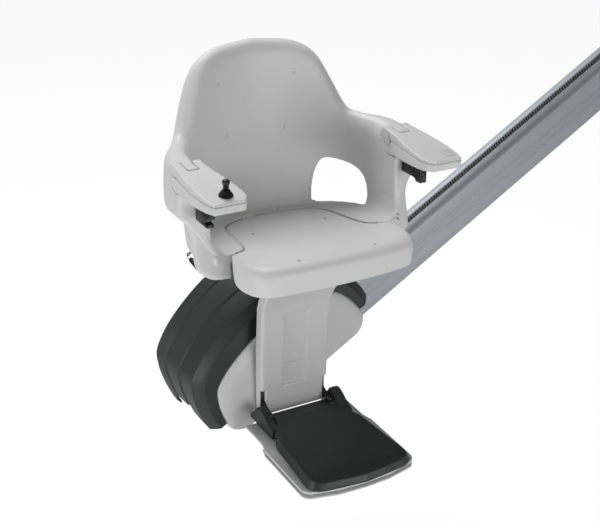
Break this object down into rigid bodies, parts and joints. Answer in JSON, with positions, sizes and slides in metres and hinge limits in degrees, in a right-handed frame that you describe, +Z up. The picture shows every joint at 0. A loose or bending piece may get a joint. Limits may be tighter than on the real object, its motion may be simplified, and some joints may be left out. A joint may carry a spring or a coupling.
{
  "type": "stairlift chair",
  "caption": "Stairlift seat with swivelling bucket shell, fold-up arms, seat panel and footrest, on a rack-driven carriage that climbs a straight inclined rail.",
  "frame": {"origin": "on the rail's flat underside, straight below the chair's middle, where the rail rests on its feet", "axes": "+Z up, the chair faces -Y, the rail rises towards +X at 31 degrees"},
  "size_m": [1.3614, 0.566, 0.9273],
  "materials": {
    "shell_grey": "fine moulded texture",
    "light_grey": "smooth satin",
    "dark_grey": "matt, lightly grained",
    "black_plastic": "satin",
    "roller_rubber": "matt",
    "aluminium": "anodised, fine lengthwise grain",
    "steel": "machined",
    "black_steel": "satin powder coat",
    "chrome": "polished",
    "board_green": "printed circuit board"
  },
  "bodies": {
    "rail": {"rail_extrusion": "aluminium", "rack": "steel", "rail_end_cap_lower": "dark_grey", "rail_end_cap_upper": "dark_grey"},
    "carriage": {"carriage_hood": "dark_grey", "carriage_front_cover": "light_grey", "carriage_frame": "black_steel", "gearbox": "aluminium", "drive_motor": "black_steel", "battery_lower": "black_plastic", "battery_upper": "black_plastic", "control_board": "board_green", "footrest_column_cover": "light_grey", "column_spine": "black_steel", "footrest_bracket_left": "black_plastic", "footrest_bracket_right": "black_plastic", "footrest_hinge_pin_left": "steel", "footrest_hinge_pin_right": "steel", "swivel_post": "steel"},
    "pinion": {"drive_pinion": "steel"},
    "track_wheel_lower": {"track_roller_lower": "roller_rubber"},
    "track_wheel_upper": {"track_roller_upper": "roller_rubber"},
    "front_wheel_lower": {"front_roller_lower": "roller_rubber"},
    "front_wheel_upper": {"front_roller_upper": "roller_rubber"},
    "back_wheel_lower": {"back_roller_lower": "roller_rubber"},
    "back_wheel_upper": {"back_roller_upper": "roller_rubber"},
    "seat": {"turntable": "black_steel", "seat_frame": "black_steel", "seat_shell": "shell_grey", "lever_bearing_block": "black_plastic", "swivel_lock_housing": "black_plastic", "seat_hinge_pin_left": "steel", "seat_hinge_pin_right": "steel", "arm_left_hinge_pin": "steel", "arm_right_hinge_pin": "steel", "belt_buckle": "black_plastic", "belt_tongue_holder": "black_plastic"},
    "seat_lid": {"seat_panel": "shell_grey"},
    "arm_left": {"arm_left_lower_shell": "shell_grey", "arm_left_upper_shell": "shell_grey", "arm_left_pivot_cap": "light_grey"},
    "arm_right": {"arm_right_lower_shell": "shell_grey", "arm_right_upper_shell": "shell_grey", "arm_right_pivot_cap": "light_grey", "joystick_boot": "roller_rubber"},
    "joystick": {"joystick_stick": "black_plastic"},
    "call_key": {"call_button": "light_grey"},
    "release_key": {"buckle_release_key": "black_plastic"},
    "swivel_lever": {"swivel_lever_rod": "chrome", "swivel_lever_grip": "black_plastic"},
    "footrest": {"footrest_pad": "dark_grey", "footrest_base_plate": "light_grey"},
    "safety_plate": {"footrest_safety_plate": "light_grey", "safety_plate_spring_rear_left": "steel", "safety_plate_spring_rear_right": "steel", "safety_plate_spring_front_left": "steel", "safety_plate_spring_front_right": "steel"}
  },
  "joints": [
    {"name": "carriage_travel", "type": "slide", "parent": "rail", "child": "carriage", "axis": [0.8572, 0, 0.515], "range_m": [0, 0.9]},
    {"name": "pinion_turn", "type": "hinge", "parent": "carriage", "child": "pinion", "pos_m": [0.00454, -0.0247, 0.14389], "axis": [-0.515, 0, 0.8572], "range_deg": [-10, 2590]},
    {"name": "track_wheel_lower_turn", "type": "hinge", "parent": "carriage", "child": "track_wheel_lower", "pos_m": [-0.0971, 0.021, 0.07034], "axis": [0, 1, 0], "range_deg": [-10, 2875]},
    {"name": "track_wheel_upper_turn", "type": "hinge", "parent": "carriage", "child": "track_wheel_upper", "pos_m": [0.1172, 0.021, 0.1991], "axis": [0, 1, 0], "range_deg": [-10, 2875]},
    {"name": "front_wheel_lower_turn", "type": "hinge", "parent": "carriage", "child": "front_wheel_lower", "pos_m": [-0.06398, -0.0393, 0.01522], "axis": [-0.515, 0, 0.8572], "range_deg": [-10, 3695]},
    {"name": "front_wheel_upper_turn", "type": "hinge", "parent": "carriage", "child": "front_wheel_upper", "pos_m": [0.15031, -0.0393, 0.14398], "axis": [-0.515, 0, 0.8572], "range_deg": [-10, 3695]},
    {"name": "back_wheel_lower_turn", "type": "hinge", "parent": "carriage", "child": "back_wheel_lower", "pos_m": [-0.03779, 0.0213, 0.09396], "axis": [-0.515, 0, 0.8572], "range_deg": [-3695, 10]},
    {"name": "back_wheel_upper_turn", "type": "hinge", "parent": "carriage", "child": "back_wheel_upper", "pos_m": [0.0685, 0.0213, 0.15782], "axis": [-0.515, 0, 0.8572], "range_deg": [-3695, 10]},
    {"name": "seat_swivel", "type": "hinge", "parent": "carriage", "child": "seat", "pos_m": [0, -0.17, 0.42], "axis": [0, 0, 1], "range_deg": [0, 90]},
    {"name": "seat_lid_fold", "type": "hinge", "parent": "seat", "child": "seat_lid", "pos_m": [0, -0.004, 0.4722], "axis": [-1, 0, 0], "range_deg": [0, 78]},
    {"name": "arm_left_fold", "type": "hinge", "parent": "seat", "child": "arm_left", "pos_m": [0.253, -0.172, 0.6656], "axis": [-1, 0, 0], "range_deg": [0, 85]},
    {"name": "arm_right_fold", "type": "hinge", "parent": "seat", "child": "arm_right", "pos_m": [-0.253, -0.172, 0.6656], "axis": [-1, 0, 0], "range_deg": [0, 85]},
    {"name": "joystick_tilt", "type": "hinge", "parent": "arm_right", "child": "joystick", "pos_m": [-0.246, -0.33143, 0.69336], "axis": [0, 1, 0], "range_deg": [-18, 18], "stiffness_Nm_per_rad": 0.15},
    {"name": "call_button_press", "type": "slide", "parent": "arm_left", "child": "call_key", "axis": [0, 0.078, -0.997], "range_m": [0, 0.0012], "stiffness_N_per_m": 800, "springref_m": -0.001},
    {"name": "belt_release_press", "type": "slide", "parent": "seat", "child": "release_key", "axis": [0, 1, 0], "range_m": [0, 0.003], "stiffness_N_per_m": 400, "springref_m": -0.002},
    {"name": "swivel_lever_press", "type": "hinge", "parent": "seat", "child": "swivel_lever", "pos_m": [-0.15, -0.037, 0.4286], "axis": [1, 0, 0], "range_deg": [0, 20], "stiffness_Nm_per_rad": 0.5, "springref_deg": -20.05},
    {"name": "footrest_fold", "type": "hinge", "parent": "carriage", "child": "footrest", "pos_m": [0, -0.175, 0.0446], "axis": [-1, 0, 0], "range_deg": [0, 86]},
    {"name": "safety_plate_lift", "type": "slide", "parent": "footrest", "child": "safety_plate", "axis": [0, 0, 1], "range_m": [0, 0.0045], "stiffness_N_per_m": 1500, "springref_m": -0.006}
  ],
  "couplings": [
    {"joint": "pinion_turn", "follows": "carriage_travel", "rad_per_m": 50},
    {"joint": "track_wheel_lower_turn", "follows": "carriage_travel", "rad_per_m": 55.556},
    {"joint": "track_wheel_upper_turn", "follows": "carriage_travel", "rad_per_m": 55.556},
    {"joint": "front_wheel_lower_turn", "follows": "carriage_travel", "rad_per_m": 71.429},
    {"joint": "front_wheel_upper_turn", "follows": "carriage_travel", "rad_per_m": 71.429},
    {"joint": "back_wheel_lower_turn", "follows": "carriage_travel", "rad_per_m": -71.429},
    {"joint": "back_wheel_upper_turn", "follows": "carriage_travel", "rad_per_m": -71.429}
  ]
}
